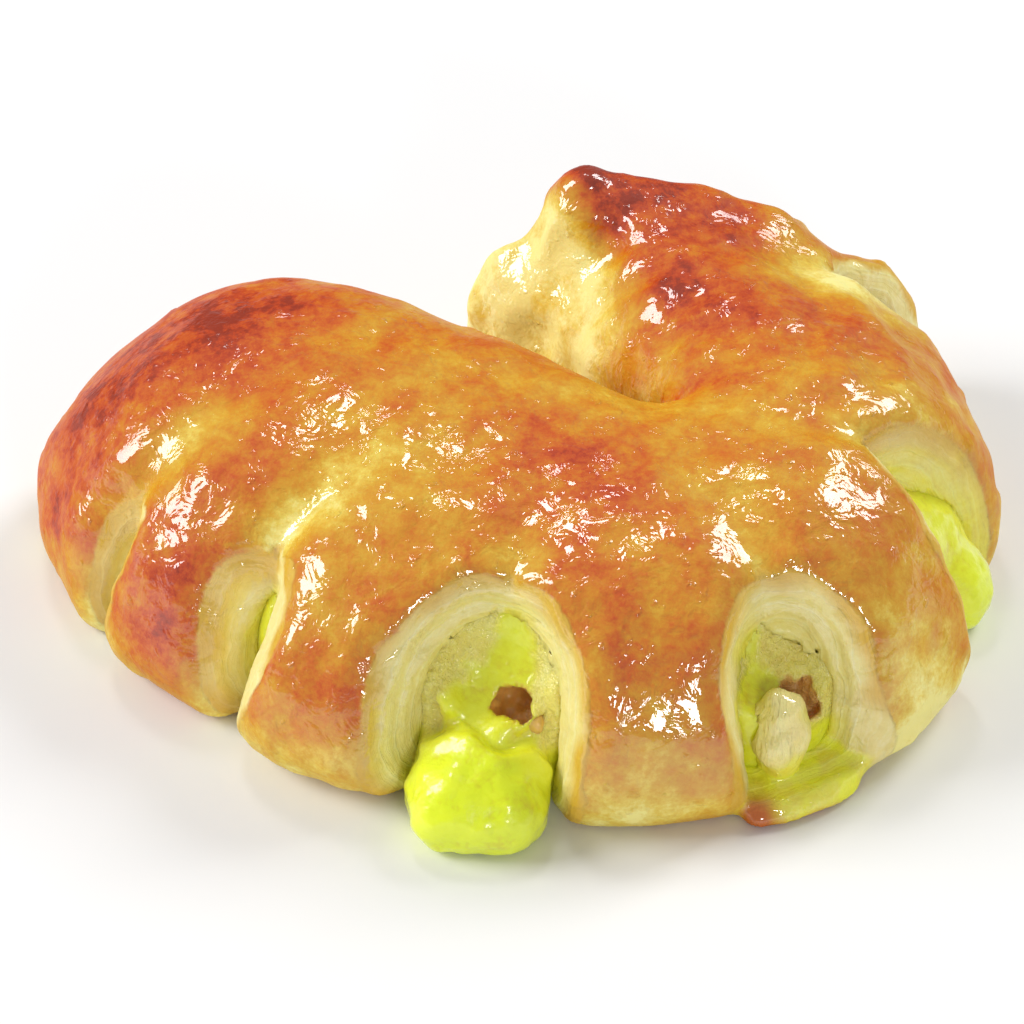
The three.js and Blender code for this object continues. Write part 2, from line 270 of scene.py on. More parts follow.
# ---------------------------------------------------------------- fields, negative inside
def turned(p, x, y, heading):
    """Distances from (x, y) along a heading and across it."""
    angle = math.radians(heading)
    dx, dy = p.x - x, p.y - y
    return dx * math.cos(angle) + dy * math.sin(angle), dy * math.cos(angle) - dx * math.sin(angle)


def egg(p, x, y, z, heading, radius_along, radius_across, radius_up, grow=0.0):
    """Roughly the distance from an ellipsoid turned to a heading, each radius larger by `grow`."""
    out, side = turned(p, x, y, heading)
    u, v, w = out / (radius_along + grow), side / (radius_across + grow), (p.z - z) / (radius_up + grow)
    size = np.sqrt(u * u + v * v + w * w)
    return (size - 1) * np.sqrt(out**2 + side**2 + (p.z - z) ** 2) / np.maximum(size, 0.05)


def valleys(p):
    """Depth of the dips in the crust that run inwards from the slits."""
    depth = 0.0
    for slit in SLITS:
        out, side = turned(p, slit.x, slit.y, slit.heading)
        spread = 4.0 + 0.12 * np.clip(-out, 0, 40)
        depth = depth + slit.valley * smooth(out, -30, 0) * np.exp(-((side / spread) ** 2))
    return depth


def torn(p):
    """Unevenness of a torn edge, up to about a millimetre."""
    coarse = np.sin(1.2 * p.x + 0.7 * p.y) * np.cos(0.8 * p.z - 0.7 * p.x + 0.5 * p.y)
    return 0.8 * coarse + 0.25 * np.sin(2.6 * p.y - 1.7 * p.x) - 0.5


def log_field(p):
    """The plain filled log, from its section's tables."""
    height, outer, inner, lean = (along(table, p.t) for table in (HEIGHT, OUTER, INNER, LEAN))
    rise = p.z - MID_HEIGHT
    v = np.where(rise > 0, rise / (height - MID_HEIGHT), rise / LOWER_DEPTH)
    dd = p.d + lean * np.clip(v, 0, 1.3) ** LEAN_POWER
    u = np.where(dd > 0, dd / outer, dd / inner)
    outer_power = np.minimum(along(OUTER_POWER, p.t), LOWER_POWER)
    inner_power = np.minimum(along(INNER_POWER, p.t), LOWER_POWER)
    upper_power = outer_power + (inner_power - outer_power) * smooth(-dd, -3, 5)
    power = np.where(rise > 0, upper_power, LOWER_POWER)
    from_start = (START_END + START_ROUND - p.t) / START_ROUND
    from_finish = (p.t - FINISH_END + FINISH_ROUND) / FINISH_ROUND
    end = np.maximum(0, np.maximum(from_start, from_finish))
    end_power = np.where(p.t < 90, START_POWER, FINISH_POWER)
    ring = (np.abs(u) ** power + np.abs(v) ** power) ** (1 / power)
    size = (ring**end_power + end**end_power) ** (1 / end_power)
    reach = np.sqrt(dd**2 + rise**2 + (end * START_ROUND) ** 2)
    return (size - 1) * reach / np.maximum(size, 0.2) + valleys(p) * np.clip((p.z - 8) / 12, 0, 1)


def slit_field(p, slit):
    """An upright wedge with curved sides, which is narrower at its foot; negative inside it."""
    out, side = turned(p, slit.x, slit.y, slit.heading)
    rise = (np.clip(p.z, 0, SLIT_TOP_HEIGHT) / SLIT_FULL_HEIGHT) ** 1.5
    width = slit.half * np.maximum(out / slit.reach, 1e-6) ** slit.curve
    width = width * (slit.foot + (1 - slit.foot) * rise)
    return np.where(out > 0, (np.abs(side) - width) * 0.75, np.hypot(out, side))


def all_slits(p):
    return functools.reduce(np.minimum, (slit_field(p, slit) for slit in SLITS))


def bareness(p):
    """How far the edge of the crumb moves outward round the places without crust."""
    shift = np.zeros_like(p.x)
    for x, y, z, radius, most in BARE_PLACES:
        gap = (p.x - x) ** 2 + (p.y - y) ** 2 + (p.z - z) ** 2
        shift = shift + most * np.exp(-gap / radius**2)
    return shift


def crumb_edge(p):
    """How far past each slit's wall the crumb starts, in millimetres, by side of the slit."""
    edge = np.zeros_like(p.x)
    for slit in SLITS:
        out, side = turned(p, slit.x, slit.y, slit.heading)
        near = smooth(out, -4, 2) * (1 - smooth(np.abs(side), slit.half + 4, slit.half + 8))
        edge = edge + near * slit.rim * RIM_SHIFT * np.tanh(side / 2)
        if slit.rim == 0:
            edge = edge + near * CRUMB_FLARE * (1 - smooth(p.z, 4, 16))
    return edge + bareness(p)


def toasted_depth(p):
    """How deep the wall of the nearest slit is toasted: less at a rim, more opposite it."""
    depth = np.full_like(p.x, TOASTED)
    for slit in SLITS:
        out, side = turned(p, slit.x, slit.y, slit.heading)
        near = smooth(out, -6, 0) * (1 - smooth(np.abs(side), slit.half + 3, slit.half + 8))
        pale_side = smooth(side * slit.rim, -0.5, 1.5)
        depth = depth + near * abs(slit.rim) * (TOASTED - pale_side * (2 * TOASTED - PALE_RIM))
    return depth


def soaked_depth(p):
    """How far the custard has soaked into the crumb: further in the slit on the side."""
    slit = SIDE_SLIT
    out, side = turned(p, slit.x, slit.y, slit.heading)
    near = smooth(out, -3, 1) * (1 - smooth(np.abs(side), slit.half, slit.half + 4))
    return SOAKED + SOAKED_AT_SIDE * near


def crust_field(p):
    """The log before it was slit: the depth below it tells crust from crumb."""
    field = log_field(p)
    for swelling in DOUGH_SWELLINGS:
        field = smooth_min(field, egg(p, *swelling), DOUGH_BLEND)
    return field


def flap_field(p):
    """The flat tongue: its outline in plan under a sloping top."""
    field = None
    for (x0, y0), (x1, y1) in zip(FLAP_OUTLINE, FLAP_OUTLINE[1:] + FLAP_OUTLINE[:1]):
        length = math.hypot(x1 - x0, y1 - y0)
        side = (p.x - x0) * (y1 - y0) / length - (p.y - y0) * (x1 - x0) / length
        field = side if field is None else smooth_max(field, side, FLAP_BLEND)
    top = p.z - (FLAP_THICKNESS + FLAP_RISE * (p.y - FLAP_FRONT))
    return smooth_max(field, top, FLAP_BLEND)


def custard_field(p, grow=0.0):
    """The filling: core, swellings, hollows and, at its true size, the air pockets."""
    end = np.maximum((CORE_FROM - p.t) / CORE_FROM_ROUND, (p.t - CORE_TO) / CORE_TO_ROUND)
    end = np.maximum(0, end)
    out, rise = p.d - CORE_OUT, p.z - CORE_HEIGHT
    size = np.sqrt(
        (out / (CORE_HALF_WIDTH + grow)) ** 2 + (rise / (CORE_HALF_HEIGHT + grow)) ** 2 + end**2
    )
    field = (size - 1) * np.sqrt(out**2 + rise**2 + (end * 20) ** 2) / np.maximum(size, 0.05)
    for swelling in SWELLINGS:
        field = smooth_min(field, egg(p, *swelling, grow=grow), SWELLING_BLEND)
    for hollow in HOLLOWS:
        field = smooth_max(field, -egg(p, *hollow, grow=-grow), HOLLOW_BLEND)
    if grow == 0:
        for pocket in AIR_POCKETS:
            ragged = -egg(p, *pocket) - POCKET_RAGGEDNESS * torn(p)
            field = smooth_max(field, ragged, POCKET_BLEND)
    return smooth_max(field, -p.z, BASE_ROUNDING)


def dough_field(p):
    """The slit log with its tongue and torn lump, hollow where the custard lies."""
    field = crust_field(p)
    for slit in SLITS:
        field = smooth_max(field, -slit_field(p, slit), slit.rounding)
    field = smooth_min(field, flap_field(p), FLAP_BLEND)
    field = smooth_min(field, egg(p, *TORN_LUMP), LUMP_BLEND)
    field = np.maximum(field, -custard_field(p, -OVERLAP))
    return smooth_max(field, -p.z, BASE_ROUNDING)


# ---------------------------------------------------------------- meshing
def surface_nets(values, low, step):
    """Quads of the zero surface of a grid: one vertex in each cell that the surface crosses."""
    inside = values < 0
    shape = [n - 1 for n in values.shape]
    corners = sum(
        inside[i : i + shape[0], j : j + shape[1], k : k + shape[2]].astype(np.int8)
        for i, j, k in np.ndindex(2, 2, 2)
    )
    crossed = (corners > 0) & (corners < 8)
    cells = np.argwhere(crossed)
    number = np.full(crossed.shape, -1)
    number[crossed] = np.arange(len(cells))
    total = np.zeros((len(cells), 3))
    hits = np.zeros(len(cells))
    for axis in range(3):
        for b, c in np.ndindex(2, 2):
            start = np.zeros(3, int)
            start[(axis + 1) % 3], start[(axis + 2) % 3] = b, c
            finish = start.copy()
            finish[axis] = 1
            f0 = values[tuple((cells + start).T)]
            f1 = values[tuple((cells + finish).T)]
            cut = (f0 < 0) != (f1 < 0)
            at = np.tile(start.astype(float), (len(cells), 1))
            at[:, axis] = np.where(cut, f0 / np.where(cut, f0 - f1, 1), 0)
            total[cut] += at[cut]
            hits += cut
    vertices = (cells + total / hits[:, None]) * step + low
    faces = []
    for axis in range(3):
        b, c = (axis + 1) % 3, (axis + 2) % 3
        near = [slice(None)] * 3
        far = [slice(None)] * 3
        near[axis], far[axis] = slice(0, -1), slice(1, None)
        here = inside[tuple(near)]
        edges = np.argwhere(here != inside[tuple(far)])

        def cell_number(db, dc):
            at = edges.copy()
            at[:, b] += db
            at[:, c] += dc
            return number[tuple(at.T)]

        quads = np.stack(
            [cell_number(-1, -1), cell_number(0, -1), cell_number(0, 0), cell_number(-1, 0)], axis=1
        )
        away = ~here[tuple(edges.T)]
        quads[away] = quads[away][:, ::-1]
        faces.append(quads)
    return vertices, np.concatenate(faces)


def vertex_normals(vertices, quads):
    across = np.cross(
        vertices[quads[:, 2]] - vertices[quads[:, 0]], vertices[quads[:, 3]] - vertices[quads[:, 1]]
    )
    normals = np.stack(
        [
            sum(np.bincount(quads[:, k], across[:, axis], len(vertices)) for k in range(4))
            for axis in range(3)
        ],
        axis=1,
    )
    return normals / np.maximum(np.linalg.norm(normals, axis=1, keepdims=True), 1e-9)


def relaxed(vertices, quads):
    """Each vertex moved half way to the middle of its neighbours."""
    total = np.zeros_like(vertices)
    count = np.zeros(len(vertices))
    for a, b in ((0, 1), (1, 2), (2, 3), (3, 0)):
        for here, there in ((quads[:, a], quads[:, b]), (quads[:, b], quads[:, a])):
            count += np.bincount(here, minlength=len(vertices))
            for axis in range(3):
                total[:, axis] += np.bincount(here, vertices[there, axis], len(vertices))
    return (vertices + total / count[:, None]) / 2


def places_of(vertices):
    return Places(vertices[:, 0], vertices[:, 1], vertices[:, 2])


def settled(vertices, quads, field):
    """Vertices evened out and put back on the field's zero surface."""
    for _ in range(2):
        vertices = relaxed(vertices, quads)
        normals = vertex_normals(vertices, quads)
        offset = field(places_of(vertices))
        step = 0.05
        slope = (field(places_of(vertices + normals * step)) - offset) / step
        move = np.clip(offset / np.maximum(slope, 0.4), -0.4, 0.4)
        vertices = vertices - normals * move[:, None]
    return vertices


def meshed(field, grid_corners, step):
    """Vertices and quads of a field's surface inside a grid."""
    low, high = grid_corners
    counts = np.ceil((np.array(high) - low) / step).astype(int) + 1
    axes = [low[a] + step * np.arange(counts[a]) for a in range(3)]
    grid = Places(axes[0][:, None, None], axes[1][None, :, None], axes[2][None, None, :])
    vertices, quads = surface_nets(field(grid), np.array(low), step)
    return settled(vertices, quads, field), quads


def drawn_in(vertices):
    """The vertices eased inwards near each side of the CAD box, so that the box cuts nothing flat."""
    low, high = (corner / MM + PLAN_MIDDLE for corner in (CAD_LOW, CAD_HIGH))
    past_low, past_high = PAST_BOX
    from_low = past_low * smooth(vertices, low + DRAWN_IN_OVER, low - past_low)
    from_high = past_high * smooth(vertices, high - DRAWN_IN_OVER, high + past_high)
    return vertices + from_low - from_high


def mesh_object(name, vertices, quads, attributes):
    """A smooth object in the frame's metres with one float attribute per entry."""
    placed = (drawn_in(vertices) - PLAN_MIDDLE) * MM
    placed = np.clip(placed, CAD_LOW, CAD_HIGH)
    mesh = bpy.data.meshes.new(name)
    mesh.from_pydata(placed.tolist(), [], quads.tolist())
    for key, values in attributes.items():
        layer = mesh.attributes.new(key, "FLOAT", "POINT")
        layer.data.foreach_set("value", values.astype(np.float32))
    mesh.polygons.foreach_set("use_smooth", [True] * len(quads))
    mesh.validate()
    mesh.update()
    piece = bpy.data.objects.new(name, mesh)
    bpy.context.scene.collection.objects.link(piece)
    return piece


# ---------------------------------------------------------------- dough
# Heights of the relief, in millimetres.
BROAD_LUMPS, SMALL_LUMPS, BLISTERS = 0.55, 0.22, 0.5
CREASES, CREASES_ON_RIGHT_ARM = 0.16, 0.44
WRINKLES, FLAKES = 0.4, 0.8
LAYER_STEPS, CRUMB_LUMPS = 0.2, 0.3
COARSE_STRINGS, FINE_STRINGS = 0.9, 0.45
LAYER_RELIEF = 3.6  # spacing of the layers that show as steps on the cut walls
LUMP_FLUFF = 0.7  # how far the torn lump's fibres stand out
RIGHT_ARM = (95, 145)  # stations over which the right arm's rougher crust fades in
# Browner and paler places on the crust: x, y, radius, change.
BROWNED = [
    (-47.0, 80.0, 20.0, 0.42),
    (-64.0, 71.0, 12.0, 0.20),
    (-53.0, 35.0, 10.0, 0.34),
    (-30.0, 17.0, 10.0, 0.04),
    (-15.0, 39.0, 12.0, -0.10),
    (-46.0, 53.0, 9.0, -0.08),
    (-30.0, 36.0, 8.0, -0.12),
    (8.0, 40.0, 12.0, 0.34),
    (-35.0, 47.0, 8.0, 0.16),
    (17.0, 14.0, 9.0, 0.12),
    (20.0, 2.0, 7.0, -0.14),
    (26.0, 68.0, 9.0, 0.12),
    (25.0, 81.0, 11.0, 0.50),
    (54.0, 30.0, 9.0, 0.06),
    (62.0, 24.0, 10.0, -0.32),
    (3.0, 102.0, 13.0, -0.44),
    (25.0, 109.0, 9.0, 0.24),
    (21.0, 98.0, 10.0, 0.20),
    (36.0, 101.0, 8.0, 0.32),
    (54.0, 91.0, 9.0, -0.52),
    (48.0, 79.0, 9.0, 0.28),
    (16.0, 60.0, 9.0, -0.14),
    (-69.0, 57.0, 9.0, 0.16),
    (66.0, 58.0, 9.0, -0.16),
]
# The darkest place, at the peak of the tall end: x, y, z, radius in plan, radius in height, change.
DARK_PEAK = (13.0, 110.0, 47.0, 8.5, 20.0, 0.84)
# How baked the crust is in general, and how much paler in valleys, on the inner face and low down.
BAKED = 0.50
PALER_IN_VALLEYS, PALER_INSIDE, PALER_AT_FOOT = 0.09, 0.50, 0.34


def browning(p):
    """How baked the crust is, from 0 pale to 1 dark."""
    x, y, z, radius, radius_up, change = DARK_PEAK
    gap = ((p.x - x) ** 2 + (p.y - y) ** 2) / radius**2 + ((p.z - z) / radius_up) ** 2
    value = BAKED + change * np.exp(-gap)
    for x, y, radius, change in BROWNED:
        value += change * np.exp(-((p.x - x) ** 2 + (p.y - y) ** 2) / radius**2)
    value -= PALER_IN_VALLEYS * valleys(p)
    value -= PALER_INSIDE * smooth(-p.d, 15, 27) * smooth(p.t, 125, 165)
    value -= PALER_AT_FOOT * (1 - smooth(p.z, 3, 17))
    return np.clip(value, 0.02, 1)


def dough_shares(p, vertices):
    """What each place of the dough is: shares from 0 to 1, and the depth in mm below the crust."""
    crust_depth = -crust_field(p)
    custard = custard_field(p, -OVERLAP)
    fray = lattice_noise(vertices, 2.2, 11) * 0.4 + lattice_noise(vertices, 6.0, 12) * 0.5
    inward = crust_depth - all_slits(p) + fray + crumb_edge(p)
    in_slit = smooth(inward, -1.0, 1.1)
    wet_noise = lattice_noise(vertices, 3.0, 13) * 1.2
    soak = 1 - smooth(custard + wet_noise, 0.0, soaked_depth(p))
    soak = soak * (1 - 0.75 * crumb_on_custard(p, wet_noise))
    near_lump = 1 - smooth(egg(p, *TORN_LUMP), 0.4, 1.4)
    soak = np.maximum(soak, near_lump * (1 - smooth(p.z + wet_noise, 7.0, 11.0)))
    on_flap = 1 - smooth(flap_field(p), 0.3, 1.5)
    soak = np.maximum(soak, on_flap * smooth(p.z, 0.6, 2.0))
    base = 1 - smooth(p.z, 0.05, 0.6)
    toast = 1 - smooth(crust_depth + 1.5 * lattice_noise(vertices, 5.0, 14), 1.0, toasted_depth(p))
    lump = near_lump * smooth(p.z + wet_noise, 7.5, 11.5)
    from_tip = np.hypot(p.x - BURNT_AT[0], p.y - BURNT_AT[1])
    return {
        "cut": np.maximum(in_slit * smooth(p.z, -0.5, 1.0), smooth(crust_depth, 1.6, 2.6)),
        "brown": browning(p),
        "depth": np.clip(crust_depth, 0, 40),
        "base": base,
        "soak": soak * (1 - 0.6 * base),
        "flap": on_flap,
        "toast": toast * (1 - 0.8 * smooth(bareness(p), 0.5, 3.0)),
        "lump": lump * (1 - 0.5 * smooth(p.x - TORN_LUMP[0], 0, 4)),
        "tip": on_flap * (1 - smooth(from_tip, 1.5, 5.5)),
        "hidden": smooth(-custard, -0.25, 0.05),
    }


def crust_relief(p, vertices):
    """Lumps, creases and blisters; deeper creases and wrinkles on the right arm, flakes inside it."""
    grain = np.stack([p.t, p.d, p.z], axis=1)
    lumps = BROAD_LUMPS * lattice_noise(vertices, 9.0, 1) + SMALL_LUMPS * lattice_noise(vertices, 4.2, 2)
    right_arm = smooth(p.t, *RIGHT_ARM)
    creases = lattice_noise(grain, (13.0, 5.0, 5.0), 3) * (CREASES + CREASES_ON_RIGHT_ARM * right_arm)
    on_inner_face = smooth(-p.d, 11, 19) * smooth(p.t, 130, 160)
    wrinkles = WRINKLES * right_arm * lattice_noise(vertices, 3.8, 10)
    flakes = FLAKES * on_inner_face * lattice_noise(grain, (3.4, 16.0, 18.0), 9)
    blisters = np.maximum(0, lattice_noise(vertices, 3.0, 4) - 0.35) * BLISTERS
    return lumps + creases + wrinkles + flakes + blisters


def crumb_relief(p, vertices, lump):
    """Steps of the flaky layers on the cut walls, and strings of crumb on the torn lump."""
    phase = -crust_field(p) * 2 * math.pi / LAYER_RELIEF
    layers = np.sin(phase + 1.5 * lattice_noise(vertices, 8.0, 5))
    crumb = LAYER_STEPS * layers + CRUMB_LUMPS * lattice_noise(vertices, 3.2, 6)
    strings = lattice_noise(vertices, (1.4, 3.0, 3.6), 7) * COARSE_STRINGS
    strings = strings + lattice_noise(vertices, 1.7, 8) * FINE_STRINGS
    return crumb + lump * (strings + LUMP_FLUFF)


def raised(vertices, quads, relief):
    """Vertices moved along their normals and kept on or above the table."""
    vertices = vertices + vertex_normals(vertices, quads) * relief[:, None]
    vertices[:, 2] = np.maximum(vertices[:, 2], 0)
    return vertices


def dress_dough():
    vertices, quads = meshed(dough_field, DOUGH_GRID, DOUGH_VOXEL)
    p = places_of(vertices)
    shares = dough_shares(p, vertices)
    cut, above_base = shares["cut"], 1 - shares["base"]
    crust = (1 - cut) * above_base * crust_relief(p, vertices)
    relief = crust + cut * above_base * crumb_relief(p, vertices, shares["lump"])
    vertices = raised(vertices, quads, relief * (1 - shares.pop("hidden")))
    return mesh_object("dough_baked", vertices, quads, shares)


# ---------------------------------------------------------------- custard
BROAD_RIPPLES, SMALL_RIPPLES, FINE_RIPPLES, CLINGING_CRUMBS = 0.55, 0.30, 0.12, 0.5
# Fold of the custard: the crease and the roll past it, by distance along the slit, width, height.
FOLD_CREASE = (12.5, 1.3, -1.3)
FOLD_ROLL = (15.5, 2.0, 1.0)
WEDGE_MIDDLES = (0.5, -2.8)  # how far to the right of the slit's axis each wedge of custard lies
WEDGE_HALF_START, WEDGE_SPREAD = 1.0, 0.62  # its half width at the start and how that grows outwards


def custard_fold(p):
    """The crease where the custard folds over itself on its way out of the wide front slit."""
    slit = FRONT_SLITS[0]
    out, side = turned(p, slit.x, slit.y, slit.heading)
    place = out + 0.04 * side**2 - 1.2 * np.sin(side * 0.6)
    height = 0.0
    for at, width, most in (FOLD_ROLL, FOLD_CREASE):
        height = height + most * np.exp(-(((place - at) / width) ** 2))
    return height * smooth(p.z, 6, 9)


def crumb_on_custard(p, unevenness):
    """Where crumb still sticks to the custard, beside a wedge that starts at the slit's inner end."""
    share = np.zeros_like(p.x)
    for slit, middle in zip(FRONT_SLITS, WEDGE_MIDDLES):
        out, side = turned(p, slit.x, slit.y, slit.heading)
        from_middle = np.abs(side - middle) - WEDGE_HALF_START
        beside = from_middle - WEDGE_SPREAD * np.maximum(out, 0) + unevenness
        beside = smooth(beside, -0.8, 1.6)
        near = smooth(out, -4, -1) * (1 - smooth(np.abs(side), slit.half, slit.half + 3))
        share = np.maximum(share, beside * near)
    return share * smooth(p.z, 9.5, 12.5)


def dress_custard():
    vertices, quads = meshed(custard_field, CUSTARD_GRID, CUSTARD_VOXEL)
    p = places_of(vertices)
    pocket = functools.reduce(np.minimum, (egg(p, *form) for form in AIR_POCKETS))
    pocket = pocket + POCKET_RAGGEDNESS * torn(p)
    walls = smooth_max(crust_field(p), -all_slits(p), 3)
    # Painted shade: the custard is coloured a darker olive where it lies against the slit walls and
    # further below the crust, in the recesses of the slits.
    recess_shade = 1 - smooth(walls + 1.6 * lattice_noise(vertices, 4.0, 23), 0.2, 3.6)
    recess_shade = np.maximum(recess_shade * smooth(p.z, 6, 11), 0.7 * smooth(-crust_field(p), 1.0, 7.0))
    ripples = BROAD_RIPPLES * lattice_noise(vertices, 5.0, 21)
    ripples = ripples + SMALL_RIPPLES * lattice_noise(vertices, 2.2, 22)
    ripples = ripples + custard_fold(p)
    unevenness = 2.2 * lattice_noise(vertices, 3.4, 24) + lattice_noise(vertices, 1.4, 25)
    crumbly = crumb_on_custard(p, unevenness)
    ripples = ripples + crumbly * CLINGING_CRUMBS * lattice_noise(vertices, 1.5, 26)
    ripples = ripples + FINE_RIPPLES * lattice_noise(vertices, 1.3, 27)
    shown = smooth(-all_slits(p), -1.0, 0.6) * smooth(walls, 0.0, 2.2)
    vertices = raised(vertices, quads, ripples * shown)
    shares = {"pocket": smooth(-pocket, -0.25, 0.1), "recess_shade": recess_shade, "crumbly": crumbly}
    return mesh_object("custard_filling", vertices, quads, shares)


# ---------------------------------------------------------------- materials
def srgb(red, green, blue):
    """Linear RGBA from 0-255 screen values."""
    parts = [v / 255 for v in (red, green, blue)]
    return tuple(v / 12.92 if v <= 0.04045 else ((v + 0.055) / 1.055) ** 2.4 for v in parts) + (1.0,)


class Nodes:
    """Short calls for building one material's node tree."""

    def __init__(self, name):
        self.material = bpy.data.materials.new(name)
        self.material.use_nodes = True
        self.tree = self.material.node_tree
        self.tree.nodes.clear()
        self.output = self.tree.nodes.new("ShaderNodeOutputMaterial")

    def put(self, socket, value):
        """Set a number or colour on a socket, or link another node's output to it."""
        if isinstance(value, bpy.types.NodeSocket):
            self.tree.links.new(value, socket)
        else:
            socket.default_value = value

    def node(self, kind, **inputs):
        made = self.tree.nodes.new(kind)
        for key, value in inputs.items():
            self.put(made.inputs[key.replace("_", " ")], value)
        return made

    def attribute(self, name):
        made = self.node("ShaderNodeAttribute")
        made.attribute_name = name
        return made.outputs["Fac"]

    def place(self):
        return self.node("ShaderNodeTexCoord").outputs["Object"]

    def maths(self, operation, a, b, clamp=False):
        made = self.node("ShaderNodeMath")
        made.operation = operation
        made.use_clamp = clamp
        self.put(made.inputs[0], a)
        self.put(made.inputs[1], b)
        return made.outputs[0]

    def plus(self, a, b, clamp=False):
        return self.maths("ADD", a, b, clamp)

    def times(self, a, b):
        return self.maths("MULTIPLY", a, b)

    def swing(self, noise, most):
        """A noise round one half, brought to swing round 0."""
        return self.times(self.maths("SUBTRACT", noise, 0.5), most)

    def rest(self, share):
        """What a share leaves of 1."""
        return self.maths("SUBTRACT", 1.0, share)

    def noise(self, vector, scale, detail=3.0, roughness=0.55, distortion=0.0):
        made = self.node(
            "ShaderNodeTexNoise",
            Vector=vector,
            Scale=scale,
            Detail=detail,
            Roughness=roughness,
            Distortion=distortion,
        )
        return made.outputs["Fac"]

    def step(self, value, low, high):
        """0 below `low`, 1 above `high`, smooth between."""
        made = self.node("ShaderNodeMapRange", Value=value, From_Min=low, From_Max=high)
        made.interpolation_type = "SMOOTHSTEP"
        return made.outputs[0]

    def ramp(self, value, stops):
        made = self.node("ShaderNodeValToRGB", Fac=value)
        elements = made.color_ramp.elements
        while len(elements) < len(stops):
            elements.new(0.5)
        for element, (position, colour) in zip(elements, stops):
            element.position = position
            element.color = colour
        return made.outputs["Color"]

    def mix(self, factor, a, b, blend="MIX"):
        made = self.node("ShaderNodeMix")
        made.data_type = "RGBA"
        made.blend_type = blend
        factor_socket, a_socket, b_socket = made.inputs[0], made.inputs[6], made.inputs[7]
        self.put(factor_socket, factor)
        self.put(a_socket, a)
        self.put(b_socket, b)
        return made.outputs[2]

    def bump(self, height, strength, distance, normal=None):
        made = self.node("ShaderNodeBump", Height=height, Strength=strength, Distance=distance)
        if normal is not None:
            self.put(made.inputs["Normal"], normal)
        return made.outputs["Normal"]

    def principled(self, **settings):
        shader = self.node("ShaderNodeBsdfPrincipled", **settings)
        self.put(self.output.inputs["Surface"], shader.outputs[0])


# Single colours, and ramps of positions from 0 to 1 with the colour at each.
CRUST_STOPS = [
    (0.00, srgb(248, 236, 146)),
    (0.15, srgb(232, 204, 86)),
    (0.30, srgb(218, 168, 44)),
    (0.45, srgb(212, 144, 26)),
    (0.60, srgb(208, 118, 20)),
    (0.74, srgb(202, 90, 20)),
    (0.87, srgb(186, 64, 18)),
    (1.00, srgb(148, 46, 17)),
]
CRUMB_STOPS = [
    (0.25, srgb(232, 212, 120)),
    (0.50, srgb(242, 228, 150)),
    (0.78, srgb(254, 248, 200)),
]
SOAKED_STOPS = [
    (0.25, srgb(224, 198, 52)),
    (0.50, srgb(242, 232, 82)),
    (0.78, srgb(250, 248, 124)),
]
CLINGING_STOPS = [
    (0.25, srgb(230, 204, 92)),
    (0.50, srgb(246, 230, 122)),
    (0.78, srgb(255, 246, 170)),
]
TOASTED_CRUMB = srgb(232, 198, 110)
TONGUE_GREEN = srgb(248, 252, 54)
TORN_WHITE = srgb(255, 242, 160)
CUSTARD_STOPS = [
    (0.20, srgb(212, 200, 34)),
    (0.45, srgb(230, 244, 28)),
    (0.75, srgb(240, 255, 58)),
]
# Darker olive custard colours for that painted shade in the recesses.
RECESS_SHADE_STOPS = [
    (0.25, srgb(214, 188, 44)),
    (0.50, srgb(234, 232, 52)),
    (0.78, srgb(244, 248, 100)),
]
POCKET_BROWN = srgb(232, 166, 100)
BAKED_BASE = srgb(206, 138, 62)
BURNT_TIP = srgb(200, 104, 30)


# In the materials below, noise scales count lumps per metre and bump distances are in metres.
def crust_colour(n, place):
    """Browned crust in patches, islands and speckle, with the height of its fine skin."""
    patches = n.noise(place, 120.0, detail=4, roughness=0.6, distortion=0.25)
    islands = n.step(n.noise(place, 360.0, detail=4, roughness=0.7, distortion=0.2), 0.38, 0.64)
    speckle = n.noise(place, 1300.0, detail=3, roughness=0.7)
    brown = n.attribute("brown")
    change = n.swing(patches, 0.90)
    change = n.plus(change, n.swing(islands, n.times(brown, 0.22)))
    change = n.plus(change, n.swing(speckle, 0.30))
    colour = n.ramp(n.plus(brown, change, clamp=True), CRUST_STOPS)
    return colour, n.plus(islands, speckle)


def crumb_colours(n, place):
    """Dry and soaked crumb, with the flaky layers that follow the depth below the crust."""
    wobble = n.times(n.noise(place, 160.0, detail=2), 3.0)
    layer_place = n.node("ShaderNodeCombineXYZ", X=n.plus(n.attribute("depth"), wobble))
    layers = n.noise(layer_place.outputs[0], 1.1, detail=3, roughness=0.6)
    pores = n.noise(place, 700.0, detail=4, roughness=0.65)
    value = n.plus(n.times(layers, 0.6), n.times(pores, 0.4))
    dry = n.mix(n.attribute("toast"), n.ramp(value, CRUMB_STOPS), TOASTED_CRUMB, "MULTIPLY")
    dry = n.mix(n.times(n.attribute("lump"), 0.8), dry, TORN_WHITE)
    return dry, n.ramp(value, SOAKED_STOPS), layers


def glaze_bump(n, place, crumb_share):
    """Clear sugar glaze: slow swells, dimples, beads on the crust alone, and fine drops."""
    swells = n.noise(place, 90.0, detail=1, roughness=0.4)
    film = n.noise(place, 230.0, detail=3, roughness=0.55, distortion=0.5)
    beads = n.step(n.noise(place, 430.0, detail=2, roughness=0.5), 0.62, 0.78)
    drops = n.noise(place, 1100.0, detail=2, roughness=0.5)
    glaze = n.bump(swells, 0.6, 0.0022)
    glaze = n.bump(n.step(film, 0.38, 0.62), 1.0, 0.00013, glaze)
    glaze = n.bump(n.times(beads, n.rest(crumb_share)), 1.0, 0.00018, glaze)
    return n.bump(drops, 1.0, 0.00002, glaze)


def lump_fibres(n, place):
    stretched = n.node("ShaderNodeMapping", Vector=place, Scale=(1.0, 0.35, 0.25)).outputs["Vector"]
    return n.times(n.noise(stretched, 1200.0, detail=3), n.attribute("lump"))


